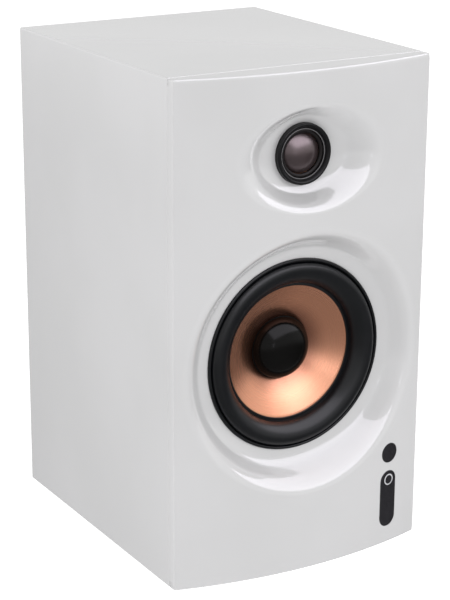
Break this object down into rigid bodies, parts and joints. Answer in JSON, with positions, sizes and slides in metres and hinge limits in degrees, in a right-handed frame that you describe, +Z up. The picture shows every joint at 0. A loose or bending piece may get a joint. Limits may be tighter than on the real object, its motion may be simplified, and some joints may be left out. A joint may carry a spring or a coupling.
{
  "type": "bookshelf speaker",
  "caption": "Powered two-way bookshelf speaker: gloss white bowed front, copper-coloured cone in a round dish, soft dome in an oval waveguide, rear bass port and amplifier plate.",
  "frame": {"origin": "centre of the overall box at the base of the rubber feet", "axes": "+Z up, -Y out of the front baffle, +X to the viewer's right from the front"},
  "size_m": [0.184, 0.24, 0.328],
  "materials": {
    "white_lacquer": "gloss white lacquer on fibreboard",
    "plywood": "bare plywood",
    "polyester_wadding": "loose polyester fibre",
    "black_rubber": "satin moulded rubber",
    "foam_gasket": "closed-cell foam",
    "dark_window": "smoked gloss acrylic",
    "pale_light_guide": "frosted light guide",
    "circuit_board": "solder-masked glass laminate",
    "black_epoxy": "moulded epoxy",
    "painted_steel": "satin black powder coat",
    "zinc_screws": "zinc plated",
    "black_screws": "black oxide",
    "copper_cone": "satin copper-coloured metal",
    "black_cap": "semi-gloss moulded cap",
    "coil_former": "thin rolled sheet",
    "copper_wire": "enamelled copper wire",
    "treated_cloth": "resin-treated woven cloth",
    "plated_steel": "zinc plated, machined",
    "ferrite": "ground ferrite",
    "black_plastic": "fine moulded texture",
    "silk_dome": "coated silk",
    "anodised_plate": "black anodised, brushed",
    "heatsink_aluminium": "extruded",
    "capacitor_sleeve": "shrink sleeve",
    "transformer_wrap": "wound polyester tape",
    "nickel_plate": "nickel plated",
    "pot_case": "pressed steel",
    "red_plastic": "moulded red"
  },
  "bodies": {
    "enclosure": {"left_panel": "white_lacquer", "right_panel": "white_lacquer", "top_panel": "white_lacquer", "bottom_panel": "white_lacquer", "back_panel": "white_lacquer", "front_baffle": "white_lacquer", "cabinet_brace": "plywood", "acoustic_wadding": "polyester_wadding", "rubber_feet": "black_rubber", "woofer_surround": "black_rubber", "woofer_trim_ring": "black_rubber", "woofer_gasket": "foam_gasket", "tweeter_gasket": "foam_gasket", "ir_window": "dark_window", "touch_window": "dark_window", "standby_ring": "pale_light_guide", "control_board": "circuit_board", "amp_board": "circuit_board", "woofer_terminal_strip": "circuit_board", "ir_receiver": "black_epoxy", "woofer_basket": "painted_steel", "woofer_screws": "zinc_screws", "tweeter_screws": "zinc_screws", "amp_plate_screws": "black_screws", "woofer_tinsel_leads": "copper_wire", "woofer_spider": "treated_cloth", "woofer_top_plate": "plated_steel", "woofer_yoke": "plated_steel", "tweeter_top_plate": "plated_steel", "tweeter_yoke": "plated_steel", "woofer_magnet": "ferrite", "tweeter_magnet": "ferrite", "tweeter_face_ring": "black_plastic", "bass_port": "black_plastic", "mains_inlet": "black_plastic", "switch_frame": "black_plastic", "terminal_block": "black_plastic", "rca_inserts": "black_plastic", "aux_jack": "black_plastic", "tweeter_surround": "silk_dome", "amp_plate": "anodised_plate", "amp_heatsink": "heatsink_aluminium", "filter_capacitors": "capacitor_sleeve", "mains_transformer": "transformer_wrap", "rca_shells": "nickel_plate", "inlet_pins": "nickel_plate", "tone_pots": "pot_case"},
    "woofer_diaphragm": {"woofer_cone": "copper_cone", "woofer_dust_cap": "black_cap", "woofer_coil_former": "coil_former", "woofer_voice_coil": "copper_wire"},
    "tweeter_diaphragm": {"tweeter_dome": "silk_dome", "tweeter_voice_coil": "copper_wire"},
    "power_rocker": {"mains_rocker": "black_plastic"},
    "bass_control": {"bass_knob": "black_plastic"},
    "treble_control": {"treble_knob": "black_plastic"},
    "red_lever": {"terminal_lever_red": "red_plastic"},
    "black_lever": {"terminal_lever_black": "black_plastic"}
  },
  "joints": [
    {"name": "woofer_stroke", "type": "slide", "parent": "enclosure", "child": "woofer_diaphragm", "axis": [0, -1, 0], "range_m": [-0.004, 0.004], "stiffness_N_per_m": 1250, "deforming": ["woofer_surround", "woofer_spider", "woofer_tinsel_leads"]},
    {"name": "tweeter_stroke", "type": "slide", "parent": "enclosure", "child": "tweeter_diaphragm", "axis": [0, -1, 0], "range_m": [-0.0003, 0.0003], "stiffness_N_per_m": 400, "deforming": ["tweeter_surround"]},
    {"name": "mains_switch", "type": "hinge", "parent": "enclosure", "child": "power_rocker", "pos_m": [0.024, 0.1022, 0.061], "axis": [-1, 0, 0], "range_deg": [0, 24]},
    {"name": "bass_turn", "type": "hinge", "parent": "enclosure", "child": "bass_control", "pos_m": [-0.026, 0.1122, 0.193], "axis": [0, 1, 0], "range_deg": [-150, 150]},
    {"name": "treble_turn", "type": "hinge", "parent": "enclosure", "child": "treble_control", "pos_m": [0.026, 0.1122, 0.193], "axis": [0, 1, 0], "range_deg": [-150, 150]},
    {"name": "red_clip", "type": "hinge", "parent": "enclosure", "child": "red_lever", "pos_m": [0.01, 0.1057, 0.132], "axis": [-1, 0, 0], "range_deg": [0, 14], "stiffness_Nm_per_rad": 0.12},
    {"name": "black_clip", "type": "hinge", "parent": "enclosure", "child": "black_lever", "pos_m": [-0.01, 0.1057, 0.132], "axis": [-1, 0, 0], "range_deg": [0, 14], "stiffness_Nm_per_rad": 0.12}
  ]
}
